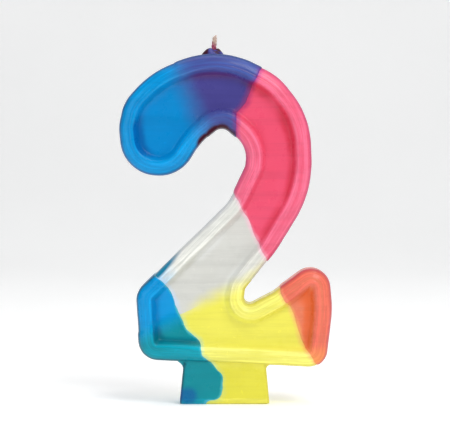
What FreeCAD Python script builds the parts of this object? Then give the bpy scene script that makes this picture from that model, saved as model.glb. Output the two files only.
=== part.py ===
import FreeCAD, Part
import math
import os

# Number birthday candle, numeral 2: a cast wax numeral with a foot, dipped in five dyed wax coats.
# Millimetres. +Z up, the numeral faces -Y, origin at the bottom centre of the foot.
V = FreeCAD.Vector

# ---- driving dimensions ----
COAT = 0.2            # thickness of one dipped layer of dyed wax
JOGGLE = 0.8          # how far an upper coat steps down past the edge of the coat below it
FRONT_Y = -5.0        # crest of the raised rim
BACK_Y = 5.0          # flat back
OUTER_ROUND = 2.2     # round from the side wall to the crest
BACK_ROUND = 0.8      # round from the side wall to the back
CREST_INSET = 3.2     # contour to the inner side of the crest
FLOOR_INSET = 4.5     # contour to the edge of the recessed floor
FLOOR_Y = -3.1        # level of the recessed floor
FOOT_FRONT_Y = -3.0   # the foot is set back from the crest
FOOT_BEVEL = 0.5      # bevel round the front of the foot
COLLAR_X = -2.6       # wick and wax collar stand here
COLLAR_TOP = 83.4     # top of the wax collar
COLLAR_BASE_Z = 79.5  # the collar is rooted this deep in the top of the numeral
COLLAR_R_LOW = 2.7    # radius of the collar at its root
COLLAR_R_HIGH = 1.7   # radius of the collar at its top
WICK_R = 0.65         # radius of the waxed wick
PIVOT_Z = 84.8        # the free wick bends about this point
WICK_GAP = 0.03       # clearance between the held wick and the free wick
WICK_TOP = 87.3       # free end of the wick
LEAST_RADIUS = 0.3    # a corner that is moved inward past its own radius keeps this one
SHARP = 0.01          # a corner radius below this is a plain corner
FOOT_LOW = 1.0        # foot corners within this height of the lowest one stand on the ground
MOUTH = 0.05          # the tool that cuts the recess starts this far in front of the crest
DEEP = 40.0           # cutting tools run this far in front of and behind the candle
TINY = 1e-4           # two levels closer than this are the same level

# Outline of the numeral in the XZ plane, clockwise: corner x, corner z, corner radius.
NUMERAL = [
    (-1.3, 84.4, 21.7),   # top of the bow
    (12.5, 77.6, 16.6),
    (20.0, 68.3, 20.1),
    (20.8, 50.6, 26.8),
    (12.3, 36.6, 26.4),   # right side of the diagonal
    (4.9, 27.3, 1.1),     # notch
    (4.0, 22.7, 1.4),
    (11.4, 26.5, 4.8),    # rise to the toe
    (24.0, 35.8, 4.4),    # tip of the toe
    (25.2, 22.6, 28.7),
    (23.6, 8.7, 4.3),     # lower right corner
    (-20.1, 10.9, 4.6),   # lower left corner
    (-21.1, 26.6, 4.9),   # shoulder of the base
    (0.8, 48.0, 9.8),     # left side of the diagonal
    (4.8, 56.4, 3.3),     # inside of the bow
    (5.2, 61.1, 6.4),
    (-0.7, 66.1, 2.6),    # underside of the arch
    (-5.7, 62.2, 21.3),
    (-10.9, 53.6, 8.7),   # hook
    (-24.0, 54.8, 8.8),
    (-25.1, 65.7, 10.1),
    (-23.8, 71.5, 10.8),
    (-17.1, 78.8, 23.2),
]

# Foot tab in the XZ plane, clockwise, with a small round where it leaves the base.
FOOT = [
    (-9.5, 9.9, 1.5),
    (-12.5, 10.6, 1.0),
    (-13.0, 14.0, 1.0),
    (13.0, 14.0, 1.0),
    (12.5, 9.6, 1.0),
    (9.5, 9.5, 1.5),
    (10.4, 0.0, 0.8),
    (-10.4, 0.0, 0.8),
]

# Edges of the dips in the XZ plane: closed regions, corner x, corner z, corner radius.
BLUE_HOOK_DIP = [
    (-45.0, 100.0, 0.0),
    (12.5, 88.0, 0.0),
    (8.0, 78.4, 6.0),
    (4.8, 71.6, 3.0),
    (2.6, 68.7, 2.0),
    (2.7, 60.0, 1.0),
    (-3.0, 46.0, 1.0),
    (-45.0, 46.0, 0.0),
]
PINK_BOW_DIP = [
    (-13.8, 86.0, 0.0),
    (45.0, 100.0, 0.0),
    (45.0, 36.0, 0.0),
    (10.4, 32.6, 0.0),
    (5.8, 42.6, 12.0),
    (-7.2, 69.0, 20.0),
]
BLUE_CORNER_DIP = [
    (-45.0, 33.6, 0.0),
    (-19.5, 33.6, 0.0),
    (-13.0, 27.3, 3.0),
    (-9.2, 18.0, 2.0),
    (-6.3, 15.2, 1.2),
    (-5.4, 11.9, 1.2),
    (-0.3, 7.2, 3.0),
    (-0.7, 1.0, 2.4),
    (-4.4, 1.3, 1.5),
    (-6.0, -6.0, 0.0),
    (-45.0, -6.0, 0.0),
]
PINK_TOE_DIP = [
    (12.6, 33.8, 0.0),
    (13.2, 26.3, 2.0),
    (16.2, 21.6, 4.0),
    (17.9, 15.4, 6.0),
    (26.0, 3.0, 0.0),
    (60.0, 3.0, 0.0),
    (60.0, 33.8, 0.0),
]
YELLOW_DIP = [
    (-45.0, 4.9, 0.0),
    (-1.7, 26.2, 10.0),
    (4.0, 28.9, 10.0),
    (45.0, 53.0, 0.0),
    (45.0, -10.0, 0.0),
    (-45.0, -10.0, 0.0),
]

# Run of the wick inside the wax in the XZ plane: corner x, corner z, corner radius.
WICK_PATH = [
    (COLLAR_X, PIVOT_Z - WICK_R - WICK_GAP, 0.0),
    (COLLAR_X, 73.8, 4.5),
    (12.8, 72.0, 12.5),
    (12.2, 52.0, 16.0),
    (-10.5, 18.5, 0.0),
]


def unit(dx, dz):
    length = math.hypot(dx, dz)
    return dx / length, dz / length


def inset_corners(corners, inset):
    """Move every side of a closed clockwise outline inward by inset, keeping its arcs concentric."""
    count = len(corners)
    moved = []
    for i in range(count):
        ax, az, _ = corners[i - 1]
        bx, bz, radius = corners[i]
        cx, cz, _ = corners[(i + 1) % count]
        ux, uz = unit(bx - ax, bz - az)
        wx, wz = unit(cx - bx, cz - bz)
        turn = ux * wz - uz * wx
        # on a clockwise outline the inward normal of direction (ux, uz) is (uz, -ux)
        shift = inset * (1.0 - (ux * wx + uz * wz)) / turn
        x = bx + inset * uz + shift * ux
        z = bz - inset * ux + shift * uz
        if turn < 0.0:
            new_radius = radius - inset
        else:
            new_radius = radius + inset
        moved.append((x, z, max(new_radius, LEAST_RADIUS)))
    return moved


def corner_edges(corners, y, closed=True):
    """Lines and tangent arcs through a list of rounded corners, in the plane at the given y."""
    count = len(corners)
    joints = []
    for i in range(count):
        bx, bz, radius = corners[i]
        at_end = not closed and i in (0, count - 1)
        if at_end or radius < SHARP:
            point = V(bx, y, bz)
            joints.append((point, None, point))
            continue
        ax, az, _ = corners[i - 1]
        cx, cz, _ = corners[(i + 1) % count]
        ux, uz = unit(ax - bx, az - bz)
        wx, wz = unit(cx - bx, cz - bz)
        half = 0.5 * math.acos(ux * wx + uz * wz)
        reach = radius / math.tan(half)
        mx, mz = unit(ux + wx, uz + wz)
        middle = radius / math.sin(half) - radius
        first = V(bx + ux * reach, y, bz + uz * reach)
        mid = V(bx + mx * middle, y, bz + mz * middle)
        last = V(bx + wx * reach, y, bz + wz * reach)
        joints.append((first, mid, last))
    edges = []
    for i in range(count):
        first, mid, last = joints[i]
        if mid is not None:
            edges.append(Part.Arc(first, mid, last).toShape())
        if closed or i < count - 1:
            following = joints[(i + 1) % count][0]
            edges.append(Part.LineSegment(last, following).toShape())
    return edges


def prism(corners, y0, y1):
    """Straight block with the given outline from y0 to y1."""
    wire = Part.Wire(corner_edges(corners, y0))
    return Part.Face(wire).extrude(V(0, y1 - y0, 0))


def loft(corners0, y0, corners1, y1):
    """Tapered block between two outlines that have the same number of corners."""
    first = Part.Wire(corner_edges(corners0, y0))
    second = Part.Wire(corner_edges(corners1, y1))
    return Part.makeLoft([first, second], True, True)


def stood_on_ground(corners, grow):
    """The lowest two corners keep their height above the ground when the foot is grown."""
    limit = min(z for _, z, _ in corners) + FOOT_LOW
    stood = []
    for x, z, radius in corners:
        if z < limit:
            z = z + grow
        stood.append((x, z, radius))
    return stood


def rim_edges(solid, y):
    """Edges of the solid that lie wholly in the plane at the given y."""
    found = []
    for edge in solid.Edges:
        box = edge.BoundBox
        if abs(box.YMin - y) < TINY and abs(box.YMax - y) < TINY:
            found.append(edge)
    return found


def numeral_level(grow):
    """The whole candle with every face moved outward by grow and the foot trimmed flat at z = 0."""
    front = FRONT_Y - grow
    back = BACK_Y + grow
    block = prism(inset_corners(NUMERAL, COAT - grow), front, back)
    block = block.makeFillet(OUTER_ROUND, rim_edges(block, front))
    block = block.makeFillet(BACK_ROUND, rim_edges(block, back))
    slope = (FLOOR_INSET - CREST_INSET) / (FLOOR_Y - FRONT_Y)
    mouth_inset = COAT + CREST_INSET + grow - slope * MOUTH
    floor_inset = COAT + FLOOR_INSET + grow
    mouth = inset_corners(NUMERAL, mouth_inset)
    floor = inset_corners(NUMERAL, floor_inset)
    recess = loft(mouth, front - MOUTH, floor, FLOOR_Y - grow)
    numeral = block.cut(recess)
    foot_front = FOOT_FRONT_Y - grow
    foot_outline = stood_on_ground(inset_corners(FOOT, -grow), grow)
    foot_bevelled = stood_on_ground(inset_corners(FOOT, FOOT_BEVEL - grow), grow)
    foot = prism(foot_outline, foot_front + FOOT_BEVEL, back - BACK_ROUND)
    bevel = loft(foot_bevelled, foot_front, foot_outline, foot_front + FOOT_BEVEL)
    low = COLLAR_R_LOW + grow
    high = COLLAR_R_HIGH + grow
    height = COLLAR_TOP + grow - COLLAR_BASE_Z
    collar = Part.makeCone(low, high, height, V(COLLAR_X, 0, COLLAR_BASE_Z), V(0, 0, 1))
    return numeral.fuse([foot, bevel, collar])


def export(shape, name):
    shape = shape.removeSplitter()
    print(name, "solids", len(shape.Solids), "valid", shape.isValid(), "volume", round(shape.Volume, 2))
    shape.exportStep("parts/" + name + ".step")


# ---- wick ----
path = Part.Wire(corner_edges(WICK_PATH, 0.0, closed=False))
section = Part.Wire(Part.makeCircle(WICK_R, V(*path.Vertexes[0].Point), V(0, 0, 1)))
wick_run = path.makePipeShell([section], True, False)
pivot = V(COLLAR_X, 0, PIVOT_Z)
wick_tip = Part.makeCylinder(WICK_R, WICK_TOP - PIVOT_Z, pivot)
wick_tip = wick_tip.fuse(Part.makeSphere(WICK_R, pivot, V(0, 1, 0)))
wick_tip = wick_tip.removeSplitter()

# ---- wax ----
core_full = numeral_level(0.0)
coated_once = numeral_level(COAT)
coated_twice = numeral_level(2.0 * COAT)
first_layer = coated_once.cut(core_full).cut(wick_run)
second_layer = coated_twice.cut(coated_once).cut(wick_run)
wax_core = core_full.cut(wick_run)

blue_hook_zone = prism(BLUE_HOOK_DIP, -DEEP, DEEP)
pink_bow_zone = prism(PINK_BOW_DIP, -DEEP, DEEP)
pink_bow_stepped = prism(inset_corners(PINK_BOW_DIP, -JOGGLE), -DEEP, DEEP)
blue_corner_zone = prism(BLUE_CORNER_DIP, -DEEP, DEEP)
pink_toe_zone = prism(PINK_TOE_DIP, -DEEP, DEEP)
yellow_zone = prism(YELLOW_DIP, -DEEP, DEEP)
yellow_stepped = prism(inset_corners(YELLOW_DIP, -JOGGLE), -DEEP, DEEP)

yellow_base_coat = first_layer.common(yellow_zone)
pink_bow_coat = first_layer.common(pink_bow_zone)
pink_toe_coat = second_layer.common(pink_toe_zone)
hook_low = first_layer.common(blue_hook_zone.cut(pink_bow_zone))
hook_high = second_layer.common(blue_hook_zone.common(pink_bow_stepped))
blue_hook_coat = hook_low.fuse(hook_high)
corner_low = first_layer.common(blue_corner_zone.cut(yellow_zone))
corner_high = second_layer.common(blue_corner_zone.common(yellow_stepped))
blue_corner_coat = corner_low.fuse(corner_high)

os.makedirs("parts", exist_ok=True)
export(wax_core, "wax_core")
export(yellow_base_coat, "yellow_base_coat")
export(pink_bow_coat, "pink_bow_coat")
export(pink_toe_coat, "pink_toe_coat")
export(blue_hook_coat, "blue_hook_coat")
export(blue_corner_coat, "blue_corner_coat")
export(wick_run, "wick_run")
export(wick_tip, "wick_tip")
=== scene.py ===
import math

import bpy
import numpy as np
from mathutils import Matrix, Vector, noise
from mathutils.geometry import delaunay_2d_cdt


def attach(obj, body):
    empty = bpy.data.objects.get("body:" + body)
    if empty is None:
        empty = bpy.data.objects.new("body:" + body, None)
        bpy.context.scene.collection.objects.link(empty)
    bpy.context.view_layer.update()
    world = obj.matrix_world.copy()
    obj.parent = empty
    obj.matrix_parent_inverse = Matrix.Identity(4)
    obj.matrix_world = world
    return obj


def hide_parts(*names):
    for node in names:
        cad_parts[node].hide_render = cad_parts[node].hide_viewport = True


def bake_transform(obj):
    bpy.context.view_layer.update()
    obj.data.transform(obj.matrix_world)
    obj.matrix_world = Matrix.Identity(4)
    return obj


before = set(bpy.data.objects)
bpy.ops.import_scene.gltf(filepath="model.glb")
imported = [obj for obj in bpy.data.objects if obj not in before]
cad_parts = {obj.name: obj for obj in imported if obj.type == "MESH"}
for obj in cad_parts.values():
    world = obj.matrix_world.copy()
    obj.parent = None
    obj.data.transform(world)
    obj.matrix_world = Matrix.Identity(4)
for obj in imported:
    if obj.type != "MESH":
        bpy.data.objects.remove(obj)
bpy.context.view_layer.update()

# Number birthday candle, numeral 2. Geometry below is in millimetres and is written to meshes in metres.
MM = 0.001
# thickness of one dipped layer
COAT = 0.2
# the flat back and the floor of the recess, as places along y
BACK_Y, RECESS_Y = 5.0, -3.1
# middle of the collar, middle of the wick, and the height where the wick leaves the collar
COLLAR_X, WICK_X, WICK_Z = -2.75, -2.6, 84.12
BODY = "candle"

# Contour of the numeral, clockwise seen from the front: corner x, corner z, radius.
NUMERAL = [
    (-1.3, 84.4, 21.7), (12.5, 77.6, 16.6), (20.0, 68.3, 20.1), (20.8, 50.6, 26.8), (12.3, 36.6, 26.4),
    (4.9, 27.3, 1.1), (4.0, 22.7, 1.4), (11.4, 26.5, 4.8), (24.0, 35.8, 4.4), (25.2, 22.6, 28.7),
    (23.6, 8.7, 4.3), (-20.1, 10.9, 4.6), (-21.1, 26.6, 4.9), (0.8, 48.0, 9.8), (4.8, 56.4, 3.3),
    (5.2, 61.1, 6.4), (-0.7, 66.1, 2.6), (-5.7, 62.2, 21.3), (-10.9, 53.6, 8.7), (-24.0, 54.8, 8.8),
    (-25.1, 65.7, 10.1), (-23.8, 71.5, 10.8), (-17.1, 78.8, 23.2),
]

# Edges of the dips: corner x, corner z, radius.
BLUE_HOOK = [
    (-45, 100, 0), (12.5, 88, 0), (8.0, 78.4, 6), (4.8, 71.6, 3), (2.6, 68.7, 2), (2.7, 60, 1), (-3, 46, 1),
    (-45, 46, 0),
]
PINK_BOW = [(-13.8, 86, 0), (45, 100, 0), (45, 36, 0), (10.4, 32.6, 0), (5.8, 42.6, 12), (-7.2, 69, 20)]
BLUE_CORNER = [
    (-45, 33.6, 0), (-19.5, 33.6, 0), (-13.0, 27.3, 3), (-9.2, 18.0, 2), (-6.3, 15.2, 1.2), (-5.4, 11.9, 1.2),
    (-0.3, 7.2, 3), (-0.7, 1.0, 2.4), (-4.4, 1.3, 1.5), (-6, -6, 0), (-45, -6, 0),
]
PINK_TOE = [
    (12.6, 33.8, 0), (13.2, 26.3, 2), (16.2, 21.6, 4), (17.9, 15.4, 6), (26, 3, 0), (60, 3, 0), (60, 33.8, 0),
]
YELLOW = [(-45, 4.9, 0), (-1.7, 26.2, 10), (4.0, 28.9, 10), (45, 53, 0), (45, -10, 0), (-45, -10, 0)]


# ---------------------------------------------------------------- outlines
def unit(v):
    """The vector with length one."""
    return v / np.linalg.norm(v)


def inset_corners(corners, inset):
    """The clockwise outline moved inward by inset; its arcs stay concentric."""
    moved = []
    for i in range(len(corners)):
        a, b = np.array(corners[i - 1][:2], float), np.array(corners[i][:2], float)
        c = np.array(corners[(i + 1) % len(corners)][:2], float)
        u, w = unit(b - a), unit(c - b)
        turn = u[0] * w[1] - u[1] * w[0]
        p = b + inset * np.array([u[1], -u[0]]) + inset * (1 - u @ w) / turn * u
        radius = corners[i][2] + (inset if turn > 0 else -inset)
        moved.append((p[0], p[1], max(radius, 0.9)))
    return moved


def outline(corners, counts=None, step=0.45):
    """Points along the lines and arcs of a rounded outline, and how many each arc and line has. counts sets
    those numbers, so that outlines of different size have matching points."""
    joints = []
    for i in range(len(corners)):
        b = np.array(corners[i][:2], float)
        r = corners[i][2]
        if r < 0.01:
            joints.append((b, b, b, 0, 0))
            continue
        u = unit(np.array(corners[i - 1][:2], float) - b)
        w = unit(np.array(corners[(i + 1) % len(corners)][:2], float) - b)
        half = 0.5 * math.acos(float(np.clip(u @ w, -1, 1)))
        centre = b + unit(u + w) * r / math.sin(half)
        first, last = b + u * r / math.tan(half), b + w * r / math.tan(half)
        a0, a1 = math.atan2(*(first - centre)[::-1]), math.atan2(*(last - centre)[::-1])
        sweep = (a1 - a0 + math.pi) % (2 * math.pi) - math.pi
        joints.append((first, last, centre, a0, sweep))
    made, points = [], []
    for i, (first, last, centre, a0, sweep) in enumerate(joints):
        following = joints[(i + 1) % len(joints)][0]
        r = corners[i][2]
        n_arc = max(5, int(abs(sweep) * r / step)) if r >= 0.01 else 1
        n_line = max(1, int(np.linalg.norm(following - last) / step))
        if counts:
            n_arc, n_line = counts[i]
        made.append((n_arc, n_line))
        for k in range(n_arc):
            a = a0 + sweep * k / n_arc
            points.append(centre + r * np.array([math.cos(a), math.sin(a)]))
        for k in range(n_line):
            points.append(last + (following - last) * k / n_line)
    return np.array(points), made


def signed_distance(points, loop):
    """Distance of each (x, z) to a closed loop, positive inside."""
    best = np.full(len(points), 1e9)
    inside = np.zeros(len(points), bool)
    for p, q in zip(loop, np.roll(loop, -1, 0)):
        d = q - p
        t = np.clip(((points - p) @ d) / max(d @ d, 1e-12), 0, 1)
        best = np.minimum(best, np.linalg.norm(points - p - t[:, None] * d, axis=1))
        crosses = (p[1] > points[:, 1]) != (q[1] > points[:, 1])
        if abs(d[1]) > 1e-12:
            inside ^= crosses & (points[:, 0] < p[0] + (points[:, 1] - p[1]) * d[0] / d[1])
    return np.where(inside, best, -best)


def wobble(points, size, scale, seed):
    """Smooth noise of the given size at each point. Its bumps are about scale mm wide."""
    shift = seed * np.array((17.3, -5.1, 3.7))
    return size * np.array([noise.noise(Vector(p / scale + shift)) for p in points])


# ---------------------------------------------------------------- the wax surface
class Skin:
    """A triangle surface. Each point has four values from 0 to 1 and one in mm: rim on the raised rim, which
    is painted lighter; pool where dye gathers and shade is painted in the recess; edge near the outer
    contour, where shade is painted; scar on stained places and on the painted shadow under the arch; and its
    inset from the contour."""

    def __init__(self):
        self.points, self.tris, self.values = [], [], []

    def add(self, points, rim, pool_and_shading, edge=0.0, stain_and_shade=0.0, inset=0.0):
        """Adds points with their values. Returns the number of the first one."""
        start = len(self.points)
        self.points += [tuple(p) for p in points]
        columns = [np.broadcast_to(v, len(points)) for v in (rim, pool_and_shading, edge, stain_and_shade, inset)]
        self.values += list(np.column_stack(columns))
        return start

    def band(self, a, b, n, flip=False):
        """Triangles between two rings of n points that start at a and b. flip turns them over."""
        for i in range(n):
            j = (i + 1) % n
            for p, q in ((a + j, b + j), (b + j, b + i)):
                self.tris.append((a + i, q, p) if flip else (a + i, p, q))

    def cap(self, ring, n, point, rim, flip):
        """Closes a ring of n points with a fan of triangles to one point."""
        centre = self.add([point], rim, 0.0)
        for i in range(n):
            t = (ring + i, ring + (i + 1) % n, centre)
            self.tris.append(t[::-1] if flip else t)

    def fill(self, start, loop, y, spacing, flip, values):
        """Closes a ring with an even net of triangles near the plane y. values gives rim, pooled dye with
        painted shade, and the lift out of that plane by depth inside the ring."""
        low, high = loop.min(0), loop.max(0)
        row_height = spacing * 0.866
        grid = []
        row = 0
        z = low[1]
        while z < high[1]:
            x = low[0] + (0.5 * spacing if row % 2 else 0)
            while x < high[0]:
                grid.append((x, z))
                x += spacing
            z += row_height
            row += 1
        grid = np.array(grid)
        depth = signed_distance(grid, loop)
        keep = depth > 0.8 * spacing
        grid, depth = grid[keep], depth[keep]
        coords = [Vector(p) for p in loop] + [Vector(p) for p in grid]
        n = len(loop)
        _, _, faces, origin, _, _ = delaunay_2d_cdt(coords, [], [list(range(n))], 1, 1e-5)
        rim, pool_and_shading, lift = values(depth)
        first = self.add([(p[0], y + s, p[1]) for p, s in zip(grid, lift)], rim, pool_and_shading, inset=5 + depth)
        place = [start + k[0] if k[0] < n else first + k[0] - n for k in origin]
        for f in faces:
            t = [place[k] for k in f]
            p = [self.points[k] for k in t]
            up = (p[1][0] - p[0][0]) * (p[2][2] - p[0][2]) - (p[1][2] - p[0][2]) * (p[2][0] - p[0][0])
            # up > 0 turns anticlockwise in x, z, so the triangle faces the front
            if (up > 0) == flip:
                t.reverse()
            self.tris.append(tuple(t))


skin = Skin()
base, counts = outline(inset_corners(NUMERAL, COAT))
# section from the back over the side and the rim to the floor: inset from the contour, y, rim (painted
# lighter), pool (pooled dye with painted shade)
SECTION = [
    (1.3, BACK_Y, 0.45, 0), (0.75, 4.98, 0.45, 0), (0.45, 4.88, 0.4, 0), (0.2, 4.68, 0.3, 0),
    (0.05, 4.42, 0.25, 0), (0.0, 4.1, 0.2, 0), (0.0, 3.0, 0.2, 0), (0.0, 1.6, 0.2, 0), (0.0, 0.2, 0.2, 0),
    (0.0, -1.2, 0.2, 0), (0.0, -2.2, 0.3, 0), (0.03, -2.8, 0.45, 0), (0.14, -3.25, 0.6, 0),
    (0.36, -3.68, 0.7, 0), (0.68, -4.08, 0.75, 0), (1.06, -4.38, 0.75, 0), (1.46, -4.6, 0.75, 0),
    (1.86, -4.77, 0.8, 0), (2.14, -4.84, 0.7, 0), (2.26, -4.82, 0.5, 0.3), (2.38, -4.9, 0.9, 0.1),
    (2.52, -4.98, 1.0, 0), (2.8, -5.0, 1.0, 0), (3.05, -4.97, 1.0, 0), (3.22, -4.84, 0.85, 0),
    (3.42, -4.55, 0.6, 0.3), (3.7, -4.13, 0.35, 0.7), (3.98, -3.7, 0.2, 0.95), (4.22, -3.36, 0.1, 1.0),
    (4.42, -3.17, 0.05, 1.0), (4.62, RECESS_Y, 0.0, 0.95),
]
starts, loops = [], []
for inset, y, rim, pool_and_shading in SECTION:
    loop, _ = outline(inset_corners(NUMERAL, COAT + inset), counts)
    loops.append(loop)
    # painted shade, partly thicker dye: the dark edge runs round the front of the side only
    edge = math.exp(-(((inset - 0.05) / 0.45) ** 2)) * min(1.0, max(0.0, (0.5 - y) / 3))
    starts.append(skin.add([(p[0], y, p[1]) for p in loop], rim, pool_and_shading, edge, 0.0, inset + max(0, y + 3)))
for a, b in zip(starts, starts[1:]):
    skin.band(b, a, len(base))
# the back sinks and the floor rises a little toward the middle, as cast wax does
BACK_SINK, FLOOR_RISE = 0.12, 0.10
skin.fill(
    starts[0], loops[0], BACK_Y, 1.3, True, lambda d: (0.45, 0.0, -BACK_SINK * np.clip(d / 5, 0, 1) ** 1.5)
)
skin.fill(
    starts[-1], loops[-1], RECESS_Y, 0.95, False, lambda d: (0.0, 0.0, FLOOR_RISE * np.clip(d / 4, 0, 1))
)
numeral_end = len(skin.points)


# points on each corner, each short side and each long side of the foot
CORNER_POINTS, SHORT_POINTS, LONG_POINTS = 5, 12, 44


def rounded_rectangle(x0, x1, y0, y1, r):
    """Points round a rounded rectangle, clockwise seen from above, with the same count for any size."""
    points = []
    for cx, cy, a0, along, n in (
        (x1 - r, y1 - r, 90, (0, -1), SHORT_POINTS), (x1 - r, y0 + r, 0, (-1, 0), LONG_POINTS),
        (x0 + r, y0 + r, -90, (0, 1), SHORT_POINTS), (x0 + r, y1 - r, 180, (1, 0), LONG_POINTS),
    ):
        for k in range(CORNER_POINTS):
            a = math.radians(a0 - 90 * k / CORNER_POINTS)
            points.append((cx + r * math.cos(a), cy + r * math.sin(a)))
        length = (y1 - y0 - 2 * r) if along[0] == 0 else (x1 - x0 - 2 * r)
        a = math.radians(a0 - 90)
        for k in range(n):
            s = length * k / n
            points.append((cx + r * math.cos(a) + along[0] * s, cy + r * math.sin(a) + along[1] * s))
    return points


# the foot tab narrows upward, is rounded and bevelled at the ground, and flares into the base of the numeral
FOOT_LEVELS = [
    0.0, 0.1, 0.35, 0.7, 1.0, 1.3, 1.7, 2.4, 3.2, 4.0, 4.8, 5.6, 6.4, 7.1, 7.7, 8.1, 8.4, 8.7, 8.95, 9.2, 9.4,
    9.6, 9.8, 9.95, 10.1, 10.25, 10.4, 10.6,
]
FOOT_HALF_WIDTH, FOOT_NARROWS, FOOT_HEIGHT = 10.4, 0.9, 9
FOOT_FRONT, FOOT_BACK, FOOT_CORNER = -3.0, 4.2, 0.6
foot_rings = []
for z in FOOT_LEVELS:
    half = FOOT_HALF_WIDTH - FOOT_NARROWS * z / FOOT_HEIGHT
    # tuck rounds the lowest edge, bevel cuts back the front there
    tuck = 0.35 * max(0.0, 1 - z / 0.5) ** 2
    bevel = 0.6 * max(0.0, 1 - z / 1.3)
    front = FOOT_FRONT + tuck * 0.5 + bevel
    points = []
    for x, y in rounded_rectangle(-half + tuck, half - tuck, front, FOOT_BACK - tuck, FOOT_CORNER):
        # the underside of the base slopes down to the right, and the round under it gets smaller
        root = 9.95 - 0.0503 * x
        round_r = 1.75 - 0.05 * x
        t = min(0.97, max(0.0, (z - root + round_r) / round_r))
        flare = round_r * (1 - math.sqrt(1 - t * t))
        side = 1 if x > 0 else -1
        points.append((x + side * flare * max(0, abs(x) - half + 2) / 2, y - 0.15 * flare * (y < -2.5), z))
    points = np.array(points)
    # painted shade darkens the side edges of the foot, and a painted shadow the line along the ground; the
    # band just above the ground gets the rim colour as a painted highlight on the bevel
    edge = np.exp(-(((half - np.abs(points[:, 0])) / 0.35) ** 2)) * np.clip((0.5 - points[:, 1]) / 3, 0, 1)
    edge = np.maximum(edge, 0.9 * (z < 0.2))
    foot_rings.append(skin.add(points, 1.0 if 0.3 < z < 1.4 else 0.1, 0.0, edge, 0.0, 3 + 0.4 * z))
for a, b in zip(foot_rings, foot_rings[1:]):
    skin.band(a, b, len(points), flip=True)
skin.cap(foot_rings[0], len(points), (0.0, 0.6, FOOT_LEVELS[0]), 0.45, flip=False)
skin.cap(foot_rings[-1], len(points), (0.0, 0.6, FOOT_LEVELS[-1]), 0.45, flip=True)

# lumpy wax collar round the wick: radius, height
COLLAR = [
    (2.7, 80.9), (2.65, 81.8), (2.5, 82.2), (2.3, 82.55), (2.07, 82.85), (1.8, 83.12), (1.5, 83.35),
    (1.2, 83.53), (0.9, 83.63), (0.6, 83.62),
]
COLLAR_SIDES = 48
collar_rings = []
for r, z in COLLAR:
    ring, stain = [], []
    for k in range(COLLAR_SIDES):
        a = 2 * math.pi * k / COLLAR_SIDES
        lump = 1 + 0.22 * noise.noise(Vector((math.cos(a) * 1.5, math.sin(a) * 1.5, 3.1 + z * 0.3)))
        height = 0.6 * noise.noise(Vector((math.cos(a) * r * 0.9, math.sin(a) * r * 0.9, 7.7))) * (z > 82.0)
        # a ridge stands up on the left
        left = max(0.0, -math.cos(a)) ** 2
        height += 0.45 * left * math.exp(-(((r - 1.5) / 0.6) ** 2))
        ring.append((COLLAR_X + r * lump * math.cos(a), 0.9 * r * lump * math.sin(a), z + height))
        mottle = 0.4 + 1.1 * noise.noise(Vector((math.cos(a) * r * 1.1 + 4, math.sin(a) * r * 1.1, z * 0.9)))
        stained = min(1.0, max(0.0, mottle + 0.6 * math.cos(a) ** 2))
        stain.append(stained * min(1.0, max(0.0, (z - 81.6) / 0.7)))
    collar_rings.append(skin.add(ring, 0.35, 0.0, 0.0, np.array(stain)))
for a, b in zip(collar_rings, collar_rings[1:]):
    skin.band(a, b, COLLAR_SIDES)
skin.cap(collar_rings[0], COLLAR_SIDES, (COLLAR_X, 0.0, 80.9), 0.35, flip=True)
skin.cap(collar_rings[-1], COLLAR_SIDES, (COLLAR_X, 0.0, 83.45), 0.35, flip=False)

points = np.array(skin.points)
tris = np.array(skin.tris)
rim, pool_and_shading, edge, stain_and_shade, inset = np.array(skin.values).T

# Soft places on the wax: x, z, reach in x, reach in z, strength. Dye pools and shade is painted most in these
# parts of the recess; on the white and yellow wax these places paint light onto the shaded walls.
POOL_AND_SHADING_PLACES = [
    (-21.5, 61.5, 4.5, 7.5, 1.0), (-16, 55.5, 6, 3, 0.55), (16.5, 67, 4.5, 10, 1.0), (17, 52, 4, 9, 0.75),
    (10.5, 44, 4, 7, 0.6), (-17, 22, 3, 6, 0.5), (-16.5, 15, 3, 4, 0.95), (-12, 14, 8, 2.5, 0.7),
    (20.0, 21, 3, 9, 1.0), (-3, 79.5, 14, 3, 0.75), (8.5, 76, 5, 5, 0.8), (6.5, 62, 4, 8, 0.45),
    (4, 26, 6, 7, 0.9), (-4, 38, 4, 7, 0.9),
]
# The pooled dye and painted shade also creep out over the floor of the recess here.
WIDE = [
    (13.5, 71, 6, 7, 1.5), (17, 60, 3, 8, 0.6), (-20.5, 62, 3, 7, 0.4), (20.0, 22, 2, 8, 1.1),
    (-3, 78, 12, 3, 0.8),
]
# Here the pooled dye and painted shade cover the side wall of the recess right up to the rim.
HIGH = [(-22.5, 62, 5, 8, 1.0), (-18.5, 20, 4, 8, 1.0)]
# Painted shadow: the outer edge is made almost black under the arch.
ARCH_SHADOW = [
    (-4.9, 62.6, 2.2, 2.0, 1.0), (-2.7, 64.6, 2.4, 2.2, 1.0), (-0.6, 65.4, 2.2, 1.8, 0.9),
    (1.8, 64.6, 1.6, 1.2, 0.7),
]
# The front of the foot has a blot at its lower left corner.
FOOT_STAIN = [(-8.7, 2.2, 2.8, 2.4, 0.52)]


def spots(places, least):
    """Strength at every point from a list of soft round places."""
    out = np.full(len(points), least)
    for px, pz, rx, rz, top in places:
        g = np.exp(-((points[:, 0] - px) / rx) ** 2 - ((points[:, 2] - pz) / rz) ** 2)
        out = np.maximum(out, top * np.minimum(1.35 * g, 1))
    return out


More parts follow.
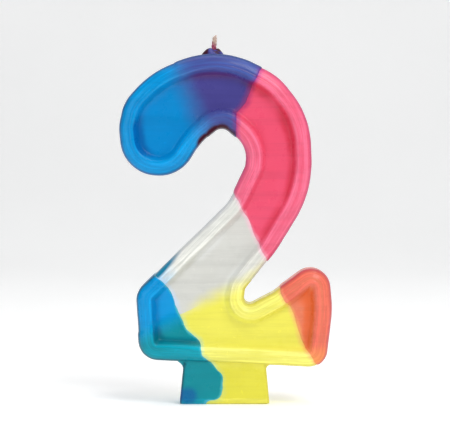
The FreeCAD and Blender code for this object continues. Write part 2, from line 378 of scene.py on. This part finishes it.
# painted shade on the walls and along the floor edge of the recess, partly pooled dye; the white and yellow
# wax get painted light there instead
on_wall = (points[:, 1] < -3.05) & (inset < 5)
pool_and_shading = np.maximum(pool_and_shading, spots(HIGH, 0.0) * np.clip((inset - 2.9) / 0.5, 0, 1) * on_wall)
on_floor = (inset >= 5) & (points[:, 1] < 0) & (points[:, 2] > 10.7)
creep = 1.0 + spots(WIDE, 0.0)
pool_and_shading = np.where(on_floor, 0.95 * np.exp(-(((inset - 5) / creep) ** 2)), pool_and_shading) * spots(POOL_AND_SHADING_PLACES, 0.12)
on_numeral = np.arange(len(points)) < numeral_end
# painted shadow under the arch, carried with the real stains
stain_and_shade = np.maximum(stain_and_shade, np.exp(-(((inset - 0.1) / 1.25) ** 2)) * spots(ARCH_SHADOW, 0.0) * on_numeral)
on_foot_front = (points[:, 1] < -2) & (points[:, 2] < 6)
stain_and_shade = np.maximum(stain_and_shade, spots(FOOT_STAIN, 0.0) * on_foot_front)


def normals_of(points, tris):
    """The direction of the surface at each point."""
    a, b, c = (points[tris[:, k]] for k in range(3))
    face = np.cross(b - a, c - a)
    out = np.zeros_like(points)
    for k in range(3):
        np.add.at(out, tris[:, k], face)
    return out / np.maximum(np.linalg.norm(out, axis=1), 1e-12)[:, None]


def softened(vectors, tris, rounds=8):
    """Directions averaged with their neighbours, so that a thick coat does not fold in a tight corner."""
    sides = np.vstack([tris[:, (0, 1)], tris[:, (1, 2)], tris[:, (2, 0)]])
    pairs = np.unique(np.sort(sides, axis=1), axis=0)
    for _ in range(rounds):
        total = vectors.copy()
        np.add.at(total, pairs[:, 0], vectors[pairs[:, 1]])
        np.add.at(total, pairs[:, 1], vectors[pairs[:, 0]])
        vectors = total / np.maximum(np.linalg.norm(total, axis=1), 1e-12)[:, None]
    return vectors


normals = softened(normals_of(points, tris), tris)
# cast wax is never quite even, but the candle stands flat
uneven = wobble(points, 0.07, 9.0, 1) + wobble(points, 0.035, 3.2, 2) + wobble(points, 0.012, 1.1, 3)
uneven[points[:, 2] < 0.5] = 0.0
points = points + normals * uneven[:, None]

# distance of each point inside the edge of each dip, which runs a little unevenly
xz = points[:, [0, 2]]
distance = {}
for name, corners, seed in (
    ("blue_hook", BLUE_HOOK, 4), ("pink_bow", PINK_BOW, 5), ("blue_corner", BLUE_CORNER, 6),
    ("pink_toe", PINK_TOE, 7), ("yellow", YELLOW, 8),
):
    d = signed_distance(xz, outline(corners, step=0.6)[0])
    distance[name] = d + wobble(points, 0.45, 4.0, seed) + wobble(points, 0.16, 1.3, seed + 20)

# a little blue dye has crept from the corner up the outer edge of the white stroke: x where it is full, x
# where it ends, lowest and highest z
CREPT_FULL, CREPT_END, CREPT_LOW, CREPT_HIGH = -14.5, -8.5, 27.0, 42.0
crept = np.clip((CREPT_END - points[:, 0]) / (CREPT_END - CREPT_FULL), 0, 1)
crept *= (points[:, 2] > CREPT_LOW) * (points[:, 2] < CREPT_HIGH) * (distance["blue_corner"] < 0)
crept *= np.exp(-(((inset - 0.3) / 1.05) ** 2)) * on_numeral
stain_and_shade = np.maximum(stain_and_shade, crept)

# what each point carries: its direction, then the values that the materials read
COLUMNS = ["rim", "pool_and_shading", "edge", "stain_and_shade", "inset"] + list(distance)
data = np.column_stack([normals, rim, pool_and_shading, edge, stain_and_shade, inset] + list(distance.values()))


# ---------------------------------------------------------------- cutting the coats out of the surface
def split(points, data, tris, f):
    """Cuts the triangles along f = 0. Every triangle then lies on one side."""
    f = np.where(np.abs(f) < 0.02, 0.02, f)
    plus = f > 0
    count = plus[tris].sum(1)
    out = [tris[(count == 0) | (count == 3)]]
    new_points, new_data, new_tris, seen = [], [], [], {}

    def cut(i, j):
        key = (min(i, j), max(i, j))
        if key not in seen:
            i, j = key
            s = f[i] / (f[i] - f[j])
            seen[key] = len(points) + len(new_points)
            new_points.append(points[i] + s * (points[j] - points[i]))
            new_data.append(data[i] + s * (data[j] - data[i]))
        return seen[key]

    for t in tris[(count == 1) | (count == 2)]:
        sides = {True: [], False: []}
        for i, j in ((t[0], t[1]), (t[1], t[2]), (t[2], t[0])):
            sides[bool(plus[i])].append(i)
            if plus[i] != plus[j]:
                k = cut(i, j)
                sides[True].append(k)
                sides[False].append(k)
        for loop in sides.values():
            new_tris += [(loop[0], loop[m], loop[m + 1]) for m in range(1, len(loop) - 1)]
    if not new_tris:
        return points, data, tris
    return np.vstack([points, new_points]), np.vstack([data, new_data]), np.vstack(out + [new_tris])


def rise(f, width=0.75):
    """Height of a dipped layer at distance f inside its edge, from 0 to 1: a rounded bead, or a gentle slope
    if it is wide."""
    s = np.clip(f / width, 0, 1)
    return np.sqrt(1 - (1 - s) ** 2) if width < 2 else s * s * (3 - 2 * s)


def column(data, name):
    """One of the named values at every point."""
    return data[:, 3 + COLUMNS.index(name)]


def smooth_object(name, verts, faces):
    """A smoothly shaded mesh in the scene, with points in metres."""
    mesh = bpy.data.meshes.new(name)
    mesh.from_pydata(verts, [], faces)
    mesh.polygons.foreach_set("use_smooth", [True] * len(mesh.polygons))
    obj = bpy.data.objects.new(name, mesh)
    bpy.context.scene.collection.objects.link(obj)
    return obj


def make_wax(name, points, tris, data, node, material):
    """A wax piece, which stands for a CAD node and carries the values that its material reads."""
    obj = smooth_object(name, (points * MM).tolist(), tris.tolist())
    for key in COLUMNS:
        layer = obj.data.attributes.new(key, "FLOAT", "POINT")
        layer.data.foreach_set("value", column(data, key).astype(np.float32))
    obj.data.update()
    obj.data.materials.append(material)
    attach(obj, BODY)
    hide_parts(node)


# A coat bites this far into what it lies on, and its open edge is this thick.
BITE, LIP = 0.03, 0.02


def make_coat(node, region, under, material, width=0.75):
    """A thin closed shell of dyed wax over the surface, on top of the coat named by under. Its edge swells to
    the full thickness over the given width."""
    p, d, t = points, data, tris
    # the surface is cut along the edge and along three lines inside it, so that the swelling is round
    for level in np.array((0.0, 0.13, 0.4, 0.8)) * width:
        p, d, t = split(p, d, t, column(d, region) - level)
    f = column(d, region)
    t = t[f[t].mean(1) > 0]
    used, t = np.unique(t, return_inverse=True)
    t = t.reshape(-1, 3)
    p, d = p[used], d[used]
    f = np.maximum(column(d, region), 0)
    n = d[:, :3] / np.linalg.norm(d[:, :3], axis=1)[:, None]
    below = np.zeros(len(p))
    if under:
        below = np.maximum((COAT + BITE) * rise(column(d, under)) - BITE, 0)
        below[column(d, under) <= 0] = 0
    inner = below - BITE
    outer = inner + LIP + (COAT + BITE - LIP) * rise(f, width)
    on_ground = p[:, 2] < 0.3
    lift = np.where(on_ground, 0.0, 1.0)
    top = p + n * (outer * lift)[:, None]
    bottom = p + n * (inner * lift)[:, None]
    bottom[on_ground, 2] += LIP
    # sides with a triangle on one hand only are the open edge; a wall closes it
    count = len(p)
    edges = {}
    for a, b, c in t:
        for i, j in ((a, b), (b, c), (c, a)):
            if (j, i) in edges:
                del edges[(j, i)]
            else:
                edges[(i, j)] = True
    wall = []
    for i, j in edges:
        wall += [(j, i, i + count), (j, i + count, j + count)]
    faces = np.vstack([t, t[:, ::-1] + count] + ([np.array(wall)] if wall else []))
    make_wax(node + "_wax", np.vstack([top, bottom]), faces, np.vstack([d, d]), node, material)


# ---------------------------------------------------------------- materials
def linear(r, g, b):
    """The linear colour of sRGB values from 0 to 255."""
    channels = [c / 255 / 12.92 if c <= 10 else ((c / 255 + 0.055) / 1.055) ** 2.4 for c in (r, g, b)]
    return (*channels, 1.0)


class Nodes:
    """Short names for building a node tree."""

    def __init__(self, name):
        self.material = bpy.data.materials.new(name)
        self.material.use_nodes = True
        self.tree = self.material.node_tree
        self.tree.nodes.clear()
        self.out = self.node("ShaderNodeOutputMaterial")
        self.bsdf = self.node("ShaderNodeBsdfPrincipled")
        self.tree.links.new(self.bsdf.outputs[0], self.out.inputs["Surface"])
        self.object = self.node("ShaderNodeTexCoord").outputs["Object"]

    def node(self, kind, **settings):
        n = self.tree.nodes.new(kind)
        for k, v in settings.items():
            setattr(n, k, v)
        return n

    def put(self, socket, value):
        """Links an output to the socket, or sets its value."""
        if isinstance(value, bpy.types.NodeSocket):
            self.tree.links.new(value, socket)
        else:
            socket.default_value = value

    def attribute(self, name):
        return self.node("ShaderNodeAttribute", attribute_name=name).outputs["Fac"]

    def noise(self, scale, detail=3.0, rough=0.55, distortion=0.0, vector=None):
        n = self.node("ShaderNodeTexNoise")
        self.put(n.inputs["Vector"], vector or self.object)
        self.put(n.inputs["Scale"], scale)
        self.put(n.inputs["Detail"], detail)
        self.put(n.inputs["Roughness"], rough)
        self.put(n.inputs["Distortion"], distortion)
        return n.outputs["Fac"]

    def stretch(self, vector, scale):
        m = self.node("ShaderNodeMapping")
        self.put(m.inputs["Vector"], vector)
        m.inputs["Scale"].default_value = scale
        return m.outputs[0]

    def ramp(self, value, a, b, lo=0.0, hi=1.0, smooth=True):
        m = self.node("ShaderNodeMapRange", interpolation_type="SMOOTHSTEP" if smooth else "LINEAR")
        self.put(m.inputs["Value"], value)
        for key, v in (("From Min", a), ("From Max", b), ("To Min", lo), ("To Max", hi)):
            self.put(m.inputs[key], v)
        return m.outputs["Result"]

    def math(self, operation, a, b):
        m = self.node("ShaderNodeMath", operation=operation)
        self.put(m.inputs[0], a)
        self.put(m.inputs[1], b)
        return m.outputs[0]

    def mix(self, factor, a, b, blend="MIX"):
        m = self.node("ShaderNodeMix", data_type="RGBA", blend_type=blend)
        self.put(m.inputs["Factor"], factor)
        self.put(m.inputs["A"], a)
        self.put(m.inputs["B"], b)
        return m.outputs["Result"]


# grey that brightens the streaks and specks of the wax
LIFT = (0.25, 0.25, 0.25, 1)


def wax(name, floor, rim, deep, dark, stain_and_shade, tints=(), low=None):
    """Dyed wax with streaks that follow the contour. floor, rim and deep are its colours on the floor of the
    recess, on the rim, painted mostly lighter as light caught by the crest and shining through the thin wax,
    and where dye pools and shade is painted, though deep is painted lighter on the white and yellow wax to
    lift the shaded walls; dark is its outer edge, painted shade with partly thicker dye, and scar its stained
    places and the painted shadow under the arch. tints are (distance, start, end, floor, rim, deep) laid over
    it. low is (colour, height where it is strongest, height where it ends, strength): a colour blended over
    the wax toward the ground."""
    n = Nodes(name)
    spread = n.node("ShaderNodeSeparateXYZ")
    n.put(spread.inputs[0], n.object)
    fine = n.noise(900, 4, 0.6)
    cloud = n.noise(130, 3, 0.5, 0.6)
    # long drag marks: across the recess they run level, on the rim they follow the contour
    level = n.noise(60, 4, 0.65, 0.3, n.stretch(n.object, (0.5, 1.0, 9.0)))
    along = n.node("ShaderNodeCombineXYZ")
    n.put(along.inputs[0], n.math("MULTIPLY", n.attribute("inset"), 0.016))
    n.put(along.inputs[1], n.math("MULTIPLY", spread.outputs["X"], 0.7))
    n.put(along.inputs[2], n.math("MULTIPLY", spread.outputs["Z"], 0.7))
    drag = n.noise(110, 3, 0.6, 0.0, along.outputs[0])
    # painted light: the rim colour, mostly lighter, stands for light caught by the crest and shining through
    # the thin wax
    rim_mask = n.ramp(n.attribute("rim"), 0.15, 0.9)
    streaked = n.math("MULTIPLY", rim_mask, n.ramp(drag, 0.44, 0.62, 1.0, 0.45))
    # painted shade in the recess corners, partly pooled dye; painted light on the white and yellow wax
    pool_and_shading_mask = n.math("MULTIPLY", n.ramp(n.attribute("pool_and_shading"), 0.1, 0.9), n.ramp(cloud, 0.3, 0.6, 0.88, 1.0))

    def shade(f, r, d):
        return n.mix(pool_and_shading_mask, n.mix(streaked, f, r), d)

    colour = shade(floor, rim, deep)
    for key, start, end, f, r, d in tints:
        where = n.math("ADD", n.attribute(key), n.ramp(n.noise(260, 3, 0.6), 0.3, 0.7, -0.35, 0.35, False))
        colour = n.mix(n.ramp(where, start, end), colour, shade(f, r, d))
    if low:
        low_colour, full_z, end_z, strength = low
        where = n.math("ADD", spread.outputs["Z"], n.ramp(n.noise(200, 2), 0.3, 0.7, -0.0008, 0.0008, False))
        colour = n.mix(n.ramp(where, full_z, end_z, strength, 0.0), colour, low_colour)
    # thicker and thinner dye
    colour = n.mix(n.ramp(cloud, 0.35, 0.7, 0.0, 0.10), colour, (1, 1, 1, 1), "SOFT_LIGHT")
    colour = n.mix(n.ramp(level, 0.42, 0.7, 0.0, 0.12), colour, (0.3, 0.3, 0.3, 1), "MULTIPLY")
    colour = n.mix(n.math("MULTIPLY", n.ramp(drag, 0.50, 0.36, 0.0, 0.65), rim_mask), colour, LIFT, "DODGE")
    colour = n.mix(n.ramp(fine, 0.60, 0.78, 0.0, 0.5), colour, LIFT, "DODGE")
    # painted shade, partly thicker dye, darkens the outer edge
    colour = n.mix(n.ramp(n.attribute("edge"), 0.05, 1.0, 0.0, 0.75), colour, dark)
    # real stains, and the painted shadow under the arch
    colour = n.mix(n.ramp(n.attribute("stain_and_shade"), 0.2, 0.8), colour, stain_and_shade)
    n.put(n.bsdf.inputs["Base Color"], colour)
    n.put(n.bsdf.inputs["Roughness"], n.ramp(n.noise(300, 4, 0.6), 0.3, 0.7, 0.24, 0.36, False))
    n.bsdf.inputs["IOR"].default_value = 1.43
    n.bsdf.inputs["Specular IOR Level"].default_value = 0.2
    n.bsdf.inputs["Coat Weight"].default_value = 0.08
    n.bsdf.inputs["Coat Roughness"].default_value = 0.1
    bump = n.node("ShaderNodeBump")
    bump.inputs["Strength"].default_value = 0.25
    bump.inputs["Distance"].default_value = 0.00012
    height = n.math("ADD", n.noise(420, 3, 0.5), n.math("MULTIPLY", n.noise(2200, 2, 0.5), 0.25))
    height = n.math("ADD", height, n.math("MULTIPLY", n.math("MULTIPLY", drag, rim_mask), 1.2))
    n.put(bump.inputs["Height"], height)
    n.put(n.bsdf.inputs["Normal"], bump.outputs[0])
    return n.material


# floor, rim and deep colour of each wax: the rim is mostly painted lighter, deep is painted shade with pooled
# dye, and on the white and yellow wax deep is painted lighter to lift the shaded walls
WHITE = (linear(208, 208, 202), linear(228, 228, 220), linear(220, 221, 217))
YELLOW_C = (linear(236, 229, 90), linear(243, 238, 122), linear(244, 240, 106))
PINK_C = (linear(232, 82, 112), linear(238, 108, 138), linear(216, 56, 80))
PURPLE_C = (linear(70, 66, 137), linear(68, 88, 158), linear(84, 46, 110))
BLUE_C = (linear(0, 131, 198), linear(0, 146, 212), linear(0, 98, 168))
CORNER_BLUE_C = (linear(0, 146, 213), linear(0, 146, 212), linear(0, 98, 168))
TEAL_C = (linear(0, 138, 151), linear(0, 154, 176), linear(0, 108, 126))
CORAL_C = (linear(228, 126, 94), linear(227, 109, 90), linear(228, 104, 54))
# the stained places, the collar and the painted shadow under the arch
MAROON = linear(60, 16, 36)

white = wax(
    "white_wax", *WHITE, linear(205, 206, 206), linear(24, 128, 164),
    tints=(
        ("yellow", -2.6, 2.6, *YELLOW_C),
        ("pink_bow", -1.0, 0.3, linear(240, 196, 208), linear(245, 208, 220), linear(235, 176, 192)),
        ("blue_corner", -5.5, -0.8, WHITE[0], linear(186, 212, 230), WHITE[2]),
        ("blue_corner", -1.1, 0.4, linear(196, 214, 235), linear(170, 212, 248), linear(176, 196, 225)),
    ),
)
yellow = wax(
    "yellow_wax", *WHITE, linear(214, 204, 78), MAROON, low=(linear(214, 206, 40), 0.0078, 0.0098, 0.5),
    tints=(
        ("yellow", -2.6, 2.6, *YELLOW_C),
        ("pink_toe", -1.2, 0.3, linear(240, 190, 110), linear(242, 190, 120), linear(240, 180, 90)),
        ("blue_corner", -1.2, 0.3, linear(205, 228, 160), linear(205, 230, 170), linear(200, 224, 150)),
    ),
)
pink_bow = wax(
    "pink_wax_bow", *PINK_C, linear(196, 56, 112), MAROON,
    tints=(
        ("blue_hook", -1.6, 0.2, linear(190, 60, 110), linear(180, 70, 140), linear(160, 40, 90)),
        ("pink_bow", 0.8, -0.1, linear(238, 140, 162), linear(244, 160, 182), linear(230, 110, 140)),
    ),
)
pink_toe = wax(
    "pink_wax_toe", *CORAL_C, linear(196, 60, 84), MAROON, low=(linear(246, 150, 84), 0.0105, 0.0145, 0.8),
    tints=(("pink_toe", 1.0, -0.1, linear(240, 160, 100), linear(238, 140, 110), linear(238, 120, 60)),),
)
blue_hook = wax(
    "blue_wax_hook", *BLUE_C, linear(10, 60, 120), MAROON,
    tints=(
        ("pink_bow", -4.2, 4.3, *PURPLE_C),
        ("blue_hook", 1.6, -0.3, linear(130, 52, 112), linear(110, 70, 150), linear(130, 30, 84)),
    ),
)
blue_corner = wax(
    "blue_wax_corner", *CORNER_BLUE_C, linear(0, 66, 84), linear(0, 60, 160),
    tints=(
        ("yellow", -2.0, 4.2, *TEAL_C),
        ("blue_corner", 0.6, -0.1, linear(70, 178, 186), linear(80, 184, 206), linear(40, 130, 140)),
    ),
)

make_wax("wax_core_body", points, tris, data, "wax_core", white)
make_coat("yellow_base_coat", "yellow", None, yellow, 4.0)
make_coat("pink_bow_coat", "pink_bow", None, pink_bow)
make_coat("pink_toe_coat", "pink_toe", "yellow", pink_toe)
make_coat("blue_hook_coat", "blue_hook", "pink_bow", blue_hook)
make_coat("blue_corner_coat", "blue_corner", "yellow", blue_corner)


# ---------------------------------------------------------------- wick
# inside the wax the wick follows the stroke of the numeral: corner x, corner z, radius
WICK_PATH = [
    (WICK_X, WICK_Z, 0), (WICK_X, 73.8, 4.5), (12.8, 72.0, 12.5), (12.2, 52.0, 16.0), (-10.5, 18.5, 0),
]
WICK_STEP = 0.16
# the free end and how far it leans to the right
FREE_LENGTH, FREE_LEAN, FREE_POINTS = 3.12, 0.45, 20
# round strands that swing once across and twice through the wick in every turn of the braid
STRANDS, STRAND_RADIUS, STRAND_SIDES = 3, 0.30, 9
SWING_ACROSS, SWING_THROUGH, BRAID_TURN = 0.31, 0.17, 2.6


def open_path(corners, step):
    """Points along an open rounded path, from its first corner to its last."""
    closed, made = outline(corners, step=step)
    keep = sum(a + b for a, b in made[:-1]) + 1
    return closed[:keep]


run = open_path(WICK_PATH, WICK_STEP)
tip = [
    (WICK_X + FREE_LEAN * (k / FREE_POINTS) ** 2, WICK_Z + FREE_LENGTH * k / FREE_POINTS)
    for k in range(FREE_POINTS, 0, -1)
]
centre = np.vstack([tip, run])[::-1]
length = np.concatenate([[0], np.cumsum(np.linalg.norm(np.diff(centre, axis=0), axis=1))])
steps = np.arange(0, length[-1], WICK_STEP)
cx, cz = np.interp(steps, length, centre[:, 0]), np.interp(steps, length, centre[:, 1])
direction = np.gradient(np.column_stack([cx, cz]), axis=0)
direction /= np.linalg.norm(direction, axis=1)[:, None]
side = np.column_stack([direction[:, 1], -direction[:, 0]])
verts, faces = [], []
for strand in range(STRANDS):
    phase = 2 * math.pi * strand / STRANDS
    t = 2 * math.pi * steps / BRAID_TURN + phase
    across, depth = SWING_ACROSS * np.sin(t), SWING_THROUGH * np.sin(2 * t)
    path = np.column_stack([cx + side[:, 0] * across, depth, cz + side[:, 1] * across])
    tangent = np.gradient(path, axis=0)
    tangent /= np.linalg.norm(tangent, axis=1)[:, None]
    left = np.cross(tangent, (0, 1, 0))
    left /= np.linalg.norm(left, axis=1)[:, None]
    up = np.cross(left, tangent)
    first = len(verts)
    # the strands end at different heights and taper over their last five steps
    total = len(steps) - 3 * strand
    for i in range(total):
        taper = 1.0 - 0.45 * max(0.0, (i - total + 5) / 5)
        for k in range(STRAND_SIDES):
            # three ridges wind round each strand
            a = 2 * math.pi * k / STRAND_SIDES + 1.4 * steps[i]
            r = STRAND_RADIUS * taper * (1 + 0.10 * math.cos(3 * a))
            verts.append(path[i] + r * (math.cos(a) * left[i] + math.sin(a) * up[i]))
    for i in range(total - 1):
        for k in range(STRAND_SIDES):
            a, b = first + i * STRAND_SIDES + k, first + i * STRAND_SIDES + (k + 1) % STRAND_SIDES
            faces.append((a, a + STRAND_SIDES, b + STRAND_SIDES, b))
    last = first + (total - 1) * STRAND_SIDES
    faces.append(tuple(first + k for k in range(STRAND_SIDES)))
    faces.append(tuple(last + k for k in range(STRAND_SIDES - 1, -1, -1)))
verts = np.array(verts) * MM
wick = smooth_object("wick_braid", verts.tolist(), faces)
# the place of each point at rest, so that the dye would stay put if the wick were bent
rest_place = wick.data.attributes.new("rest_place", "FLOAT_VECTOR", "POINT")
rest_place.data.foreach_set("vector", verts.astype(np.float32).ravel())

n = Nodes("waxed_cotton")
place = n.node("ShaderNodeAttribute", attribute_name="rest_place").outputs["Vector"]
height = n.node("ShaderNodeSeparateXYZ")
n.put(height.inputs[0], place)
fibre = n.noise(900, 4, 0.65, 0.5, n.stretch(place, (3.0, 3.0, 0.5)))
cotton = n.mix(n.ramp(fibre, 0.35, 0.7), linear(196, 176, 150), linear(240, 232, 216))
# dye has soaked up the cotton to an uneven height
soaked = n.ramp(n.noise(700, 2, vector=place), 0.3, 0.7, -0.0006, 0.0006, False)
soaked = n.math("ADD", height.outputs["Z"], soaked)
dyed = n.mix(n.ramp(fibre, 0.3, 0.7), linear(128, 36, 70), linear(196, 92, 122))
colour = n.mix(n.ramp(soaked, 0.0846, 0.0862, 1.0, 0.25), cotton, dyed)
n.put(n.bsdf.inputs["Base Color"], colour)
n.bsdf.inputs["Roughness"].default_value = 0.7
bump = n.node("ShaderNodeBump")
bump.inputs["Strength"].default_value = 0.6
bump.inputs["Distance"].default_value = 0.0001
n.put(bump.inputs["Height"], fibre)
n.put(n.bsdf.inputs["Normal"], bump.outputs[0])
wick.data.materials.append(n.material)
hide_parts("wick_run", "wick_tip")
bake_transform(wick)

# ---------------------------------------------------------------- stage, light, camera, all in metres
# a sheet of paper on the ground that curves up behind the candle
CURVE_Y, CURVE_RADIUS, CURVE_STEPS = 0.55, 0.35, 24
PAPER_FRONT, PAPER_TOP, PAPER_HALF_WIDTH = -1.2, 1.6, 2.0
rows = [(PAPER_FRONT, 0.0)]
for k in range(CURVE_STEPS + 1):
    a = math.radians(90 * k / CURVE_STEPS)
    rows.append((CURVE_Y + CURVE_RADIUS * math.sin(a), CURVE_RADIUS - CURVE_RADIUS * math.cos(a)))
rows.append((CURVE_Y + CURVE_RADIUS, PAPER_TOP))
verts = [(x, y, z) for y, z in rows for x in (-PAPER_HALF_WIDTH, PAPER_HALF_WIDTH)]
faces = [(2 * i, 2 * i + 1, 2 * i + 3, 2 * i + 2) for i in range(len(rows) - 1)]
floor = smooth_object("studio_floor", verts, faces)
n = Nodes("studio_paper")
paper = n.mix(n.ramp(n.noise(6, 3), 0.3, 0.7), (0.87, 0.87, 0.865, 1), (0.9, 0.9, 0.895, 1))
n.put(n.bsdf.inputs["Base Color"], paper)
n.bsdf.inputs["Roughness"].default_value = 0.9
n.bsdf.inputs["Emission Color"].default_value = (1, 1, 1, 1)
n.bsdf.inputs["Emission Strength"].default_value = 0.3
floor.data.materials.append(n.material)


# the lamps point at the middle of the candle
LAMP_AIM = Vector((0, 0, 0.045))


def area_light(name, place, size, watts, colour=(1, 1, 1)):
    """A rectangular lamp that points at the candle."""
    light = bpy.data.lights.new(name, "AREA")
    light.shape = "RECTANGLE"
    light.size, light.size_y = size
    light.energy = watts
    light.color = colour
    obj = bpy.data.objects.new(name, light)
    obj.location = place
    obj.rotation_euler = (LAMP_AIM - Vector(place)).to_track_quat("-Z", "Y").to_euler()
    bpy.context.scene.collection.objects.link(obj)


area_light("key", (0.32, -0.45, 0.62), (0.4, 0.4), 4.1)
area_light("fill", (-0.6, -0.55, 0.25), (0.6, 0.6), 1.8, (0.98, 0.99, 1.0))
area_light("top", (0.0, 0.05, 0.75), (0.6, 0.4), 1.7)
bpy.context.scene.view_settings.view_transform = "Standard"
world = bpy.data.worlds.new("studio")
bpy.context.scene.world = world
world.use_nodes = True
background = world.node_tree.nodes["Background"]
background.inputs["Color"].default_value = (0.92, 0.95, 1.0, 1)
background.inputs["Strength"].default_value = 0.15

# the camera looks straight at the front from a little above, with a long lens
camera = bpy.data.cameras.new("camera")
camera.lens = 150
camera.sensor_width = 36
camera_object = bpy.data.objects.new("camera", camera)
bpy.context.scene.collection.objects.link(camera_object)
target = Vector((0.0, 0.0, 0.0445))
elevation = math.radians(1.5)
distance_away = 0.445
camera_object.location = target + distance_away * Vector((0, -math.cos(elevation), math.sin(elevation)))
camera_object.rotation_euler = (target - camera_object.location).to_track_quat("-Z", "Y").to_euler()
bpy.context.scene.camera = camera_object
